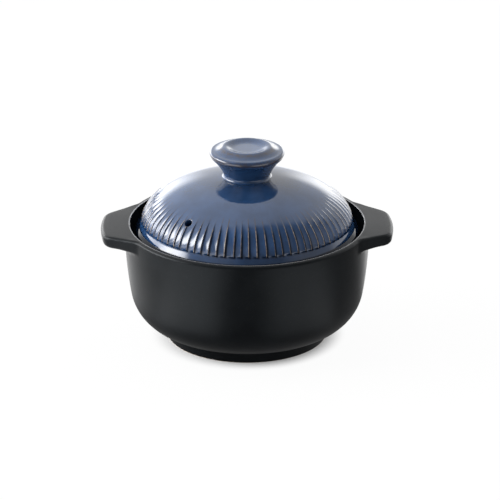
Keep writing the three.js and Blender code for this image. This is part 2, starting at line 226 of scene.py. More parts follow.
far = eased(tree, distance, SHEEN_START, SHEEN_FULL, 0, 1)
outwards = vector_computed(tree, "NORMALIZE", place).outputs["Vector"]
tone = MIRRORED_TONE
for sheen in SHEENS:
    tone = computed(tree, "MULTIPLY_ADD", sector(tree, outwards, *sheen), far, tone)
mirrored = computed(tree, "MAXIMUM", ray.outputs["Is Glossy Ray"], ray.outputs["Is Transmission Ray"])
table_look = mix_shaders(tree, mirrored, lit_table, white_light(tree, tone))
tree.links.new(table_look, tree.nodes["Material Output"].inputs["Surface"])
table.data.materials.append(table_paint)
print("sheens on the table:", len(SHEENS))

# %% [markdown]
# ## The light
# Glaze is a mirror with a colour under it, so the room is painted as carefully as the pot. The back half of
# the room is bright, up to a line right over the pot, and that line is where the sheen on the lid's crown
# stops. The front half is dark, which keeps the front of the glaze deep. Soft patches are added to that: a
# low, bright window on the left with the glow of its sill, dim walls on both sides, and two strips low down
# behind the pot, which whiten the lid's sides. Lamps could do the same, but painted patches have soft
# edges, and so have their reflections.

# %% Paint the room
ROOM_DARK, ROOM_BRIGHT = 0.25, 1.45
BACK_WAY = (-0.30, 1.0, 0.0)  # towards the bright half
BACK_START, BACK_FULL = -0.24, 0.08  # how far a direction points that way where the brightness sets in
LEFT_GAIN, RIGHT_GAIN = 1.15, 0.62  # the bright half is brighter on the left
GAIN_REACH = 0.9  # how far to the sides the gain still changes
FLOOR = (-1.1, -1.0)  # for a patch that starts on the floor
# Each patch: its middle, its full and its outer half-width in degrees, the heights between which it sets in
# and those between which it fades out, as sines, and its brightness.
PATCHES = {
    "window": (-93, 9, 28, (0.12, 0.26), (0.40, 0.62), 15.0),
    "window_sill": (-74, 28, 42, FLOOR, (0.05, 0.20), 1.4),
    "left_wall": (-50, 10, 45, FLOOR, (0.45, 0.75), 0.5),
    "right_wall": (95, 32, 62, FLOOR, (0.50, 0.95), 0.45),
    "left_strip": (-138, 20, 38, FLOOR, (0.16, 0.38), 4.3),
    "right_strip": (152, 10, 22, FLOOR, (0.18, 0.36), 2.7),
}

room = bpy.data.worlds.new("room")
room.use_nodes = True
bpy.context.scene.world = room
tree = room.node_tree
way = add_node(tree, "ShaderNodeTexCoord").outputs["Generated"]
height = along(tree, way, (0, 0, 1))
flattened = vector_computed(tree, "MULTIPLY", way, (1, 1, 0)).outputs["Vector"]
level = vector_computed(tree, "NORMALIZE", flattened).outputs["Vector"]

back = eased(tree, along(tree, way, BACK_WAY), BACK_START, BACK_FULL, 0, ROOM_BRIGHT)
gain = eased(tree, along(tree, way, (1, 0, 0)), -GAIN_REACH, GAIN_REACH, LEFT_GAIN, RIGHT_GAIN)
light = computed(tree, "MULTIPLY_ADD", back, gain, ROOM_DARK)
for name, (middle, core, rim, rise, fade, strength) in PATCHES.items():
    sideways = sector(tree, level, middle, core, rim, strength)
    upwards = computed(
        tree, "MULTIPLY", eased(tree, height, *rise, 0, 1), eased(tree, height, *fade, 1, 0)
    )
    light = computed(tree, "MULTIPLY_ADD", sideways, upwards, light)
    print(name, "adds up to", strength)
tree.links.new(light, tree.nodes["Background"].inputs["Strength"])
tree.nodes["Background"].inputs["Color"].default_value = WHITE
print("room from", ROOM_DARK, "in front to", ROOM_BRIGHT, "behind")

# %% [markdown]
# ## Drawing a section
# Everything here is turned on a wheel, so each piece starts as a section: a line in the plane of radius and
# height, in millimetres. Sections are made of straight runs, arcs, bends and rounded corners. A corner is
# rounded by a rational curve, which is a true circle whatever the angle, and stays in order when the corner
# is flat.

# %% Helpers for sections
SAME_POINT = 1e-4  # closer points count as one


def arc(centre, radius, start, end, steps):
    """Points on a round arc, between two angles in degrees."""
    turns = [math.radians(start + (end - start) * i / steps) for i in range(steps + 1)]
    return [Vector(centre) + Vector((math.cos(t), math.sin(t))) * radius for t in turns]


def bend(points, steps):
    """A smooth Bezier curve over three or four control points."""
    line = []
    for i in range(steps + 1):
        level = [Vector(p) for p in points]
        while len(level) > 1:
            level = [a.lerp(b, i / steps) for a, b in zip(level, level[1:])]
        line.append(level[0])
    return line


def corner_reach(before, corner, after, radius):
    """How far a rounding of this radius reaches along both sides of a corner."""
    turn = (corner - before).angle(after - corner, 0.0)
    return radius * math.tan(turn / 2)


def round_off(before, corner, after, reach, steps):
    """The circular rounding of a corner that starts and ends at a reach from it."""
    start = corner + (before - corner).normalized() * reach
    end = corner + (after - corner).normalized() * reach
    weight = math.cos((corner - before).angle(after - corner, 0.0) / 2)
    line = []
    for i in range(steps + 1):
        t = i / steps
        shares = ((1 - t) ** 2, 2 * weight * t * (1 - t), t**2)
        total = shares[0] * start + shares[1] * corner + shares[2] * end
        line.append(total / sum(shares))
    return line


def rounded_line(points, radii, steps=4):
    """A line through points, with each inner corner rounded by its radius."""
    points = [Vector(p) for p in points]
    line = [points[0]]
    for before, corner, after, radius in zip(points, points[1:], points[2:], radii):
        line += round_off(before, corner, after, corner_reach(before, corner, after, radius), steps)
    return line + [points[-1]]


def joined(*lines):
    """Lines end to end, without the points that would lie on each other."""
    whole = []
    for line in lines:
        for p in line:
            if not whole or (Vector(p) - whole[-1]).length > SAME_POINT:
                whole.append(Vector(p))
    return whole


print("a quarter circle:", [tuple(round(c, 2) for c in p) for p in arc((0, 0), 1, 0, 90, 2)])

# %% [markdown]
# ## Turning a section
# The spin operator carries a line around the axis and leaves faces behind it, as a template does on a
# wheel. A spin of several hundred steps is slow, so it makes an eighth of the turn, which is then doubled
# three times. Each point remembers its row in the section, so that later steps can find the rim or a flute
# again.

# %% Helpers for turning and finishing a piece
DOUBLINGS = 3
WELD_DISTANCE = 1e-6  # metres


def turn_section(section, steps, closed):
    """Turns a section about the Z axis. Returns the bmesh and the layer that holds each point's row."""
    bm = bmesh.new()
    row = bm.verts.layers.int.new("row")
    for number, p in enumerate(section):
        vert = bm.verts.new((p[0] * MM, 0, p[1] * MM))
        vert[row] = number
    bm.verts.ensure_lookup_table()
    pairs = list(zip(bm.verts, bm.verts[1:]))
    if closed:
        pairs.append((bm.verts[-1], bm.verts[0]))
    edges = [bm.edges.new(pair) for pair in pairs]
    slice_angle = 2 * math.pi / 2**DOUBLINGS
    bmesh.ops.spin(
        bm,
        geom=list(bm.verts) + edges,
        axis=(0, 0, 1),
        angle=slice_angle,
        steps=steps // 2**DOUBLINGS,
    )
    for doubling in range(DOUBLINGS):
        copy = bmesh.ops.duplicate(bm, geom=[*bm.verts, *bm.edges, *bm.faces])["geom"]
        around = Matrix.Rotation(slice_angle * 2**doubling, 3, "Z")
        bmesh.ops.rotate(bm, matrix=around, verts=[e for e in copy if isinstance(e, bmesh.types.BMVert)])
    bmesh.ops.remove_doubles(bm, verts=bm.verts, dist=WELD_DISTANCE)
    return bm, row


def new_object(bm, name):
    """Makes a bmesh an object with smooth faces that point outwards."""
    bmesh.ops.recalc_face_normals(bm, faces=bm.faces)
    for face in bm.faces:
        face.smooth = True
    mesh = bpy.data.meshes.new(name)
    bm.to_mesh(mesh)
    bm.free()
    made = bpy.data.objects.new(name, mesh)
    bpy.context.collection.objects.link(made)
    return made


def set_down(bm, name, body, nodes):
    """Makes a piece of a bmesh and gives it the place of the solids that it stands for."""
    piece = new_object(bm, name)
    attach(piece, body)
    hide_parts(*nodes)
    print(name, "has", len(piece.data.vertices), "points")
    return piece


print("the wheel turns in slices of", 360 // 2**DOUBLINGS, "degrees")

# %% [markdown]
# ## The bowl
# The bowl is thick stoneware: a low foot ring, a heel that swings out into an almost upright wall, and a
# rim with a step inside it, called the galley, in which the lid sits. All of that is one section. It could
# be a box-modelled shape with subdivision, but the wheel gives true circles and lets every radius be named.

# %% The bowl's outside, from under the foot to the height of the lugs
RIM_RADIUS, RIM_HEIGHT = 90.0, 88.0
WALL_CENTRE, WALL_ARC = (-210.0, 85.4), 300.0
HEEL_ARC = 32.0
FOOT_TOP = (60.2, 8.5)
FOOT_OUTER, FOOT_INNER = 59.0, 52.0  # radii of the face that the pot stands on
RECESS_RADIUS, RECESS_HEIGHT = 50.5, 3.0  # under the bowl, inside the foot ring
RECESS_RING = 25.0  # one more ring of points on the flat of the recess
FOOT_ROUNDS = (0.1, 1.2, 0.8, 1.2, 1.4)
HEEL_ROWS, WALL_ROWS = 18, 9
FOOT_ROWS = 2  # rows of the heel that the last rounding of the foot takes up
BAND_FOOT = 70.0  # below this height the lugs don't reach


def circles_meet(first, first_radius, second, second_radius):
    """The point where two circles meet, on the left of the line between their centres."""
    between = Vector(second) - Vector(first)
    forwards = (first_radius**2 - second_radius**2 + between.length_squared) / (2 * between.length)
    aside = math.sqrt(first_radius**2 - forwards**2)
    ahead = between.normalized()
    return Vector(first) + ahead * forwards + Vector((-ahead.y, ahead.x)) * aside


def direction(start, end):
    """The angle of the line between two points, in degrees."""
    return math.degrees(math.atan2(end[1] - start[1], end[0] - start[0]))


def wall_radius(height, bow=WALL_ARC):
    """The radius of the bowed wall at a height."""
    return WALL_CENTRE[0] + math.sqrt(bow**2 - (height - WALL_CENTRE[1]) ** 2)


def wall_angle(height, bow=WALL_ARC):
    """The angle on the wall's arc at a height, in degrees."""
    return math.degrees(math.asin((height - WALL_CENTRE[1]) / bow))


heel_centre = circles_meet(WALL_CENTRE, WALL_ARC - HEEL_ARC, FOOT_TOP, HEEL_ARC)
heel_end = direction(WALL_CENTRE, heel_centre)
heel_start = direction(heel_centre, FOOT_TOP)
heel = arc(heel_centre, HEEL_ARC, heel_start, heel_end, HEEL_ROWS)[FOOT_ROWS:]
foot = rounded_line(
    [
        (0, RECESS_HEIGHT),
        (RECESS_RING, RECESS_HEIGHT),
        (RECESS_RADIUS, RECESS_HEIGHT),
        (FOOT_INNER, 0),
        (FOOT_OUTER, 0),
        FOOT_TOP,
        heel[0],
    ],
    FOOT_ROUNDS,
)
wall = arc(WALL_CENTRE, WALL_ARC, heel_end, wall_angle(BAND_FOOT), WALL_ROWS)
below_band = joined(foot, heel, wall)
print("rows below the lugs:", len(below_band))

# %% The bowl's inside, from the crest of the rim over the galley to the floor
LIP_ROUND = 2.6
GALLEY_TOP, GALLEY_FOOT = 86.4, 83.0  # radii of the galley's wall
LEDGE_RADIUS, LEDGE_HEIGHT, LEDGE_UNDERSIDE = 76.5, 81.0, 77.0
LEDGE_ROOT = 65.0  # height where the ledge has run into the wall below it
GALLEY_ROUNDS = (0.6, 1.0, 1.5, 2.5, 8.0)
INNER_WALL_ARC, INNER_WALL_TOP = 294.0, 58.0
INNER_FLOOR, INNER_HEEL_ARC = 10.5, 30.0
FLOOR_RINGS = (34.0, 17.0, 0.0)
GALLEY_ROUND_ROWS, INNER_WALL_ROWS, INNER_HEEL_ROWS = 5, 5, 14

inner_reach = INNER_WALL_ARC - INNER_HEEL_ARC
inner_fall = INNER_FLOOR + INNER_HEEL_ARC - WALL_CENTRE[1]
inner_centre = Vector(WALL_CENTRE) + Vector((math.sqrt(inner_reach**2 - inner_fall**2), inner_fall))
inner_end = direction(WALL_CENTRE, inner_centre)
inner_start = wall_angle(INNER_WALL_TOP, INNER_WALL_ARC)
inner_wall = arc(WALL_CENTRE, INNER_WALL_ARC, inner_start, inner_end, INNER_WALL_ROWS)
rim_crest = Vector((RIM_RADIUS - LIP_ROUND, RIM_HEIGHT))
galley = rounded_line(
    [
        rim_crest,
        (GALLEY_TOP, RIM_HEIGHT),
        (GALLEY_FOOT, LEDGE_HEIGHT),
        (LEDGE_RADIUS, LEDGE_HEIGHT),
        (LEDGE_RADIUS, LEDGE_UNDERSIDE),
        (wall_radius(LEDGE_ROOT, INNER_WALL_ARC), LEDGE_ROOT),
        inner_wall[0],
    ],
    GALLEY_ROUNDS,
    steps=GALLEY_ROUND_ROWS,
)
inner_heel = arc(inner_centre, INNER_HEEL_ARC, inner_end, -90, INNER_HEEL_ROWS)
inner_floor = [(radius, INNER_FLOOR) for radius in FLOOR_RINGS]
above_band = joined(galley, inner_wall, inner_heel, inner_floor)
print("rows inside the rim:", len(above_band))

# %% [markdown]
# ## The lugs
# The two lugs are flat tongues, pulled out of the rim and smoothed in with a wet finger. Separate plates
# would leave a seam, so here the rim itself is pulled. For every direction around the pot a small outline
# says how far the rim reaches out, and the rows between the wall and the rim are laid along the lug's own
# section: up the wall, a hollow under the lug, its underside, a soft edge, and back along the sloping top.

# %% How far a lug reaches out in each direction
LUG_REACH = 18.0
LUG_TIP = RIM_RADIUS + LUG_REACH
TIP_HALF_WIDTH = 23.5
FLANK_ANGLE = math.radians(33)
CORNER_ROUND, ROOT_ROUND = 11.0, 14.0

flank_start = Vector((math.sqrt(LUG_TIP**2 - TIP_HALF_WIDTH**2), TIP_HALF_WIDTH))
flank_out = Vector((math.sin(FLANK_ANGLE), math.cos(FLANK_ANGLE)))
flank_way = Vector((-math.cos(FLANK_ANGLE), math.sin(FLANK_ANGLE)))


def centre_beside_flank(distance, set_off):
    """The centre of a circle that touches the flank, at a distance from the pot's axis."""
    start = flank_start + flank_out * set_off
    half = start.dot(flank_way)
    step = -half - math.sqrt(half**2 - start.length_squared + distance**2)
    return start + flank_way * step


def polar(p):
    """The angle of a point around the axis."""
    return math.atan2(p[1], p[0])


corner_centre = centre_beside_flank(LUG_TIP - CORNER_ROUND, -CORNER_ROUND)
root_centre = centre_beside_flank(RIM_RADIUS + ROOT_ROUND, ROOT_ROUND)
corner_from, corner_to = polar(corner_centre), polar(corner_centre + flank_out * CORNER_ROUND)
root_from, root_to = polar(root_centre - flank_out * ROOT_ROUND), polar(root_centre)


def on_circle(centre, radius, ahead, side):
    """Distance along a direction from the axis to the near or the far side of a circle."""
    middle = centre.dot(ahead)
    return middle + side * math.sqrt(max(0.0, radius**2 - centre.length_squared + middle**2))


def lug_reach(angle):
    """How far the lug stands out past the rim, at an angle from its middle."""
    ahead = Vector((math.cos(angle), math.sin(angle)))
    if angle < corner_from:
        return LUG_REACH
    if angle < corner_to:
        return on_circle(corner_centre, CORNER_ROUND, ahead, 1) - RIM_RADIUS
    if angle < root_from:
        return flank_start.dot(flank_out) / ahead.dot(flank_out) - RIM_RADIUS
    if angle < root_to:
        return max(0.0, on_circle(root_centre, ROOT_ROUND, ahead, -1) - RIM_RADIUS)
    return 0.0


print("a lug spans", round(2 * math.degrees(root_to)), "degrees of the rim")

# %% The section of the rim where it is pulled out by a reach
LUG_THICKNESS = 9.0
LUG_SLOPE, SLOPE_FULL = math.radians(5.5), 8.0  # the slope of the top, and the reach at which it is full
ROOT_DROP = 2.4  # how far below the rim's underside its root lies
ROOT_RISE, RISE_FULL = 3.4, 16.0  # how far the root moves up with the reach
HOLLOW_ROUND, UNDER_ROUND = 6.0, 3.4
EDGE_SOFTENING, SOFT_FULL = 0.5, 6.0  # how much rounder the top edge of a lug is than the rim's
LEAST_REACH = 0.45  # keeps neighbouring rows apart where nothing bends
MOST_OF_UNDERSIDE, MOST_OF_TOP = 0.97, 0.95  # what the roundings may take up
RISE_ROWS, ROUND_ROWS, BACK_ROWS = 4, 7, 5


def smooth(value, low, high):
    """A soft step from 0 at low to 1 at high."""
    share = min(1.0, max(0.0, (value - low) / (high - low)))
    return share * share * (3 - 2 * share)


def lug_section(reach):
    """The line from the wall over the lug to the crest of the rim, always with the same number of points."""
    slope = LUG_SLOPE * smooth(reach, 0, SLOPE_FULL)
    wall_foot = Vector((wall_radius(BAND_FOOT), BAND_FOOT))
    length = LIP_ROUND + reach
    top = rim_crest + Vector((math.cos(slope), -math.sin(slope))) * length
    bottom_height = top.y - LUG_THICKNESS * math.cos(slope)
    proud = top.x - RIM_RADIUS
    bottom = Vector((wall_radius(bottom_height) + proud - LUG_THICKNESS * math.sin(slope), bottom_height))
    root_height = bottom_height - ROOT_DROP + ROOT_RISE * smooth(reach, 0, RISE_FULL)
    root = Vector((wall_radius(root_height), root_height))

    edge_round = LIP_ROUND + EDGE_SOFTENING * smooth(reach, 0, SOFT_FULL)
    hollow = max(LEAST_REACH, corner_reach(wall_foot, root, bottom, HOLLOW_ROUND))
    lower = max(LEAST_REACH, corner_reach(root, bottom, top, UNDER_ROUND))
    upper = max(LEAST_REACH, corner_reach(bottom, top, rim_crest, edge_round))
    room_below = MOST_OF_UNDERSIDE * (bottom - root).length
    if hollow + lower > room_below:
        hollow, lower = hollow * room_below / (hollow + lower), lower * room_below / (hollow + lower)
    upper = min(upper, MOST_OF_TOP * length)

    hollow_start = root + (wall_foot - root).normalized() * hollow
    over = round_off(bottom, top, rim_crest, upper, ROUND_ROWS)
    return [
        *[wall_foot.lerp(hollow_start, i / RISE_ROWS) for i in range(RISE_ROWS)],
        *round_off(wall_foot, root, bottom, hollow, ROUND_ROWS),
        *round_off(root, bottom, top, lower, ROUND_ROWS),
        *over,
        *[over[-1].lerp(rim_crest, i / BACK_ROWS) for i in range(1, BACK_ROWS)],
    ]


print("rows over a lug:", len(lug_section(LUG_REACH)), "and on the plain rim:", len(lug_section(0.0)))

# %% Turn the bowl and pull the lugs
POT_STEPS = 480
ANGLE_STEPS = 1e5  # angles that agree to this part of a radian share one section

plain_band = lug_section(0.0)
pot_section = [*below_band[:-1], *plain_band, *above_band]
pot_bm, row_layer = turn_section(pot_section, POT_STEPS, closed=False)

first_band_row = len(below_band) - 1
bands = {}
for vert in pot_bm.verts:
    place_in_band = vert[row_layer] - first_band_row
    if not 0 <= place_in_band < len(plain_band):
        continue
    turn = polar(vert.co)
    from_lug = math.atan2(abs(vert.co.y), abs(vert.co.x))
    key = round(from_lug * ANGLE_STEPS)
    if key not in bands:
        bands[key] = lug_section(lug_reach(from_lug))
    p = bands[key][place_in_band]
    vert.co = (p.x * math.cos(turn) * MM, p.x * math.sin(turn) * MM, p.y * MM)
print("different lug sections:", len(bands))

# %% Mark the wiped foot and the rim's pale inner edge, worn and with a painted highlight, and set the pot down
WIPED_HEIGHT, WIPED_RADIUS = 0.35, FOOT_OUTER + 0.5
RIM_LINE_DROP, RIM_LINE_REACH = 0.2, 0.9  # how far below the rim the pale line of wear and painted highlight is strongest, and where it ends

wiped = pot_bm.verts.layers.float.new("bare_clay")
# The pale line on the rim's inner edge is worn glaze with a painted highlight.
worn_and_highlit = pot_bm.verts.layers.float.new("worn_and_highlit_edge")
inner_edge = Vector((GALLEY_TOP, RIM_HEIGHT - RIM_LINE_DROP))
for vert in pot_bm.verts:
    p = Vector((math.hypot(vert.co.x, vert.co.y), vert.co.z)) / MM
    vert[wiped] = 1.0 if p.y < WIPED_HEIGHT and p.x < WIPED_RADIUS else 0.0
    vert[worn_and_highlit] = max(0.0, 1 - (p - inner_edge).length / RIM_LINE_REACH)
pot_piece = set_down(pot_bm, "pot", "pot", ["pot_body", "left_lug", "right_lug"])

# %% [markdown]
# ## The black glaze
# The bowl wears a satin black glaze. It is dark enough that its shape is told by sheen alone, so the
# roughness matters more than the colour. Fine grain breaks up the sheen, soft clouds vary it, and where the
# glaze is wiped off the foot ring the warm clay shows. The galley has only a dull black wash, so that the
# lid doesn't stick to it in the kiln. It has no shine at all, and so it gets a material of its own on its
# faces. The noise is in metres, as Object coordinates are.

# %% Helpers for glazes
def grain_bump(tree, place, scale, strength, depth):
    """A bump made of fine noise."""
    sockets = {"Strength": strength, "Distance": depth, "Height": noise(tree, place, scale, detail=3.0)}
    return add_node(tree, "ShaderNodeBump", sockets).outputs["Normal"]


def stored(tree, name):
    """A share that was stored on the points of a piece."""
    return add_node(tree, "ShaderNodeAttribute", attribute_name=name).outputs["Fac"]


def finish(tree, shader, colour, roughness, normal):
    """Links a colour, a roughness and a bump to a shader."""
    tree.links.new(colour, shader.inputs["Base Color"])
    tree.links.new(roughness, shader.inputs["Roughness"])
    tree.links.new(normal, shader.inputs["Normal"])


print("helpers for glazes are ready")

# %% Mix the black glaze
BLACK_DEEP = (0.0018, 0.0024, 0.0032, 1)
BLACK_THIN = (0.0038, 0.0047, 0.0058, 1)
BLACK_SPECK = (0.030, 0.029, 0.028, 1)
RIM_HIGHLIGHT_GREY = (0.46, 0.465, 0.48, 1)
BARE_CLAY = (0.33, 0.235, 0.16, 1)
SATIN = (0.32, 0.39)
CLOUD_SCALE, SPECK_SCALE, SPECK_SHARE = 38.0, 1500.0, 0.5
# The ranges of the noise over which the colour, the specks and the sheen change.
TINT_RANGE, SPECK_RANGE, SATIN_RANGE = (0.35, 0.65), (0.68, 0.76), (0.3, 0.7)
GRAIN_SCALE, GRAIN_DEPTH, GRAIN = 1100.0, 0.00012, 0.22

black_glaze, tree, shader = new_material("black_glaze")
place = object_place(tree)
clouds = noise(tree, place, CLOUD_SCALE, detail=4.0)
specks = noise(tree, place, SPECK_SCALE, detail=1.0)
bare_clay = stored(tree, "bare_clay")
glaze = mix_colours(tree, mapped(tree, clouds, *TINT_RANGE, 0, 1), BLACK_DEEP, BLACK_THIN)
glaze = mix_colours(tree, mapped(tree, specks, *SPECK_RANGE, 0, SPECK_SHARE), glaze, BLACK_SPECK)
# the rim's inner edge is painted pale grey: worn glaze and a painted highlight
glaze = mix_colours(tree, stored(tree, "worn_and_highlit_edge"), glaze, RIM_HIGHLIGHT_GREY)
glaze = mix_colours(tree, bare_clay, glaze, BARE_CLAY)
satin_or_dry = computed(tree, "MAXIMUM", mapped(tree, clouds, *SATIN_RANGE, *SATIN), bare_clay)
finish(tree, shader, glaze, satin_or_dry, grain_bump(tree, place, GRAIN_SCALE, GRAIN, GRAIN_DEPTH))
shader.inputs["Specular IOR Level"].default_value = 0.13
shader.inputs["Specular Tint"].default_value = (0.88, 0.95, 1.0, 1)
pot_piece.data.materials.append(black_glaze)
print("black glaze on", pot_piece.name)

# %% Wash the galley
WASH_DULL = (0.8, 0.95)
BRUSH_SCALE, WASH_GRAIN = 160.0, 0.3
WASH_SLOT = 1
WASH_START = 0.5  # below the rim
WASH_MARGIN = 0.2  # how far it runs past the ledge

galley_wash, tree, shader = new_material("galley_wash")
place = object_place(tree)
brushed = noise(tree, place, BRUSH_SCALE, detail=4.0)
wash = mix_colours(tree, mapped(tree, brushed, *TINT_RANGE, 0, 1), BLACK_DEEP, BLACK_THIN)
dull = mapped(tree, brushed, *SATIN_RANGE, *WASH_DULL)
finish(tree, shader, wash, dull, grain_bump(tree, place, GRAIN_SCALE, WASH_GRAIN, GRAIN_DEPTH))
shader.inputs["Specular IOR Level"].default_value = 0.0
pot_piece.data.materials.append(galley_wash)

lowest, innermost = LEDGE_HEIGHT - WASH_MARGIN, LEDGE_RADIUS - WASH_MARGIN
washed = 0
for face in pot_piece.data.polygons:
    p = face.center / MM
    if lowest < p.z < RIM_HEIGHT - WASH_START and innermost < math.hypot(p.x, p.y) < GALLEY_TOP:
        face.material_index = WASH_SLOT
        washed += 1
print("washed faces:", washed)

# %% [markdown]
# ## The lid
# The lid is a low dome with a smooth crown. Around its lower part a potter has cut eighty shallow scoops
# side by side, so that neighbours meet in crisp ridges. The slanted blade leaves each scoop steep on one
# side and gentle on the other. They fade out upwards and run out level into a smooth band. A bump map could
# fake this, but the ridges catch the light at the edge of the dome, so they are real. The dome is turned
# with ten columns to a scoop. They are then moved close together beside the ridges, and each scoop is
# pressed into its columns.

# %% The lid's outer line, from the vent in the crown down to the end of the flutes
DOME_RADIUS, DOME_RISE = 78.0, 37.5
SHOULDER_HEIGHT = 87.5
VENT_RADIUS = 1.5
CROWN_RADII = (VENT_RADIUS, 6, 11, 15.5, 19, 23, 27, 31, 35, 39, 43, 47, 50.5, 53.5, 56, 58.2)
FLUTE_TOP_RADIUS = 60.0
FLUTE_LOW = 2.0  # height of the flutes' lower ends above the shoulder
FLUTE_DEPTH = 0.8
FLUTE_ROWS, END_ROWS = 22, 9
END_SHARE = 0.9  # from here to the lower end the rows lie closer


def dome_point(angle, depth=0.0):
    """A point of the dome's outer line, sunk square to it by a depth."""
    across, up = math.cos(angle) / DOME_RADIUS, math.sin(angle) / DOME_RISE
    inwards = Vector((across, up)).normalized() * depth
    out = Vector((DOME_RADIUS * math.cos(angle), SHOULDER_HEIGHT + DOME_RISE * math.sin(angle)))
    return out - inwards


def dome_angle(radius):
    """The angle of the dome's outer line at a radius."""
    return math.acos(radius / DOME_RADIUS)


def steps_between(start, end, count):
    """Evenly spaced values, without the first one."""
    return [start + (end - start) * i / count for i in range(1, count + 1)]


flute_top, flute_low = dome_angle(FLUTE_TOP_RADIUS), math.asin(FLUTE_LOW / DOME_RISE)
flute_end = flute_top + (flute_low - flute_top) * END_SHARE
outer_angles = [
    *[dome_angle(radius) for radius in CROWN_RADII],
    flute_top,
    *steps_between(flute_top, flute_end, FLUTE_ROWS),
    *steps_between(flute_end, flute_low, END_ROWS),
]
outer_line = [dome_point(angle) for angle in outer_angles]
print("rows of the dome:", len(outer_line))

# %% The rest of the lid's section, over the smooth band and the brim to the inside
BRIM_ROOT = (79.2, 85.0)
BRIM_RADIUS, BRIM_TOP = 81.8, 83.4
SEAT_HEIGHT = 81.3
BARE_RADIUS = 79.8  # the glaze is wiped off the seat up to here
INNER_RADIUS, INNER_FOOT, INNER_RISE = 72.0, 84.3, 34.7
BRIM_ROUNDS = (0.9, 0.9, 0.8, 0.1, 0.8)
BAND_ROWS, INSIDE_ROWS = 5, 18

brim = rounded_line(
    [
        dome_point(flute_low, FLUTE_DEPTH),
        BRIM_ROOT,
        (BRIM_RADIUS, BRIM_TOP),
        (BRIM_RADIUS, SEAT_HEIGHT),
        (BARE_RADIUS, SEAT_HEIGHT),
        (INNER_RADIUS, SEAT_HEIGHT),
        (INNER_RADIUS, INNER_FOOT),
    ],
    BRIM_ROUNDS,
)
band = [brim[0].lerp(brim[1], i / BAND_ROWS) for i in range(1, BAND_ROWS)]
inside_turns = steps_between(0, math.acos(VENT_RADIUS / INNER_RADIUS), INSIDE_ROWS)
inside = [(INNER_RADIUS * math.cos(t), INNER_FOOT + INNER_RISE * math.sin(t)) for t in inside_turns]
lid_section = joined(outer_line, band, brim[1:], inside)
print("rows of the lid:", len(lid_section))

# %% Where the ridges stand
FLUTE_COUNT = 80
FLUTE_COLUMNS = (0, 0.045, 0.09, 0.14, 0.22, 0.36, 0.54, 0.72, 0.86, 0.95)  # shares of a flute's width
STEPS_PER_FLUTE = len(FLUTE_COLUMNS)
STEEP_SIDE = 0.18  # the share of a flute that its steep side takes
GENTLE_POWER = 3.0  # a higher power leaves a thinner ridge on the gentle side
FADE_START, FADE_FULL = -0.02, 0.55  # shares of a flute's length between which it gets deep
RIDGE_STOP = 0.93  # the share at which a ridge starts to sink into the band
RIDGE_DRIFT = 0.11  # how far a ridge may be out of place, as a share of a flute's width
TOP_DRIFT, END_DRIFT = (-0.09, 0.07), (-0.025, 0.02)
LAST_DRIFT = 0.3  # the share of a ridge's end drift that its very end has
WEAR = (0.62, 1.0)

random.seed(21)
flute_turn = 2 * math.pi / FLUTE_COUNT
ridge_turns = [(i + random.uniform(-RIDGE_DRIFT, RIDGE_DRIFT)) * flute_turn for i in range(FLUTE_COUNT)]
ridge_turns.append(ridge_turns[0] + 2 * math.pi)
flute_tops = [random.uniform(*TOP_DRIFT) for _ in range(FLUTE_COUNT)]
flute_ends = [random.uniform(*END_DRIFT) for _ in range(FLUTE_COUNT)]
ridge_wear = [random.uniform(*WEAR) for _ in range(FLUTE_COUNT)]


def flute_share(angle):
    """The share of a flute's length that lies above an angle of the dome."""
    return (flute_top - angle) / (flute_top - flute_low)


def flute_depth(flute, across, angle):
    """How deep a flute is at a share of its width and at an angle of the dome."""
    share = flute_share(angle)
    fade = smooth(share, flute_tops[flute] + FADE_START, FADE_FULL)
    end = smooth(share, RIDGE_STOP + flute_ends[flute], 1.0 + flute_ends[flute] * LAST_DRIFT)
    ridge = max(max(0.0, 1 - across / STEEP_SIDE) ** 2, across**GENTLE_POWER)
    return FLUTE_DEPTH * fade * (1 - ridge * (1 - end))


widths = [(b - a) * DOME_RADIUS for a, b in zip(ridge_turns, ridge_turns[1:])]
print("flutes from", round(min(widths), 1), "to", round(max(widths), 1), "mm wide")

# %% Turn the dome and press the flutes
lid_steps = FLUTE_COUNT * STEPS_PER_FLUTE
lid_bm, row_layer = turn_section(lid_section, lid_steps, closed=True)
for vert in lid_bm.verts:
    column = round(polar(vert.co) / (2 * math.pi) * lid_steps) % lid_steps
    flute, step = divmod(column, STEPS_PER_FLUTE)
    across = FLUTE_COLUMNS[step]
    turn = ridge_turns[flute] + (ridge_turns[flute + 1] - ridge_turns[flute]) * across
    radius, height = math.hypot(vert.co.x, vert.co.y), vert.co.z
    number = vert[row_layer]
    if number < len(outer_angles):
        angle = outer_angles[number]
        p = dome_point(angle, flute_depth(flute, across, angle))
        radius, height = p.x * MM, p.y * MM
    vert.co = (radius * math.cos(turn), radius * math.sin(turn), height)
lid_piece = set_down(lid_bm, "lid", "lid", ["lid_dome"])

# %% [markdown]
# ## The steam hole
# One small hole lets steam out. It is drilled square to the dome after the carving, so it cuts through the
# ridges beside it. A Boolean modifier does that cleanly. The drill is turned too, and widens at both ends,
# so that the glaze runs over soft edges into the hole.

# %% Shape the drill and set it on the dome
HOLE_RADIUS = 2.8
HOLE_INSET = 11.4
HOLE_ANGLE = math.radians(41)  # from the front, towards the left lug
LID_THICKNESS = 6.0
DRILL_TOP, DRILL_END = 6.0, -9.0  # above and below the dome's surface
# How much wider than the hole the drill is, and at which height.
DRILL_MOUTH = ((3.6, DRILL_TOP), (1.0, 0.42), (0.45, -0.05), (0.12, -0.5), (0, -1.1))
DRILL_TAIL = ((0, -5.0), (0.25, -6.0), (1.4, DRILL_END))
DRILL_STEPS = 40

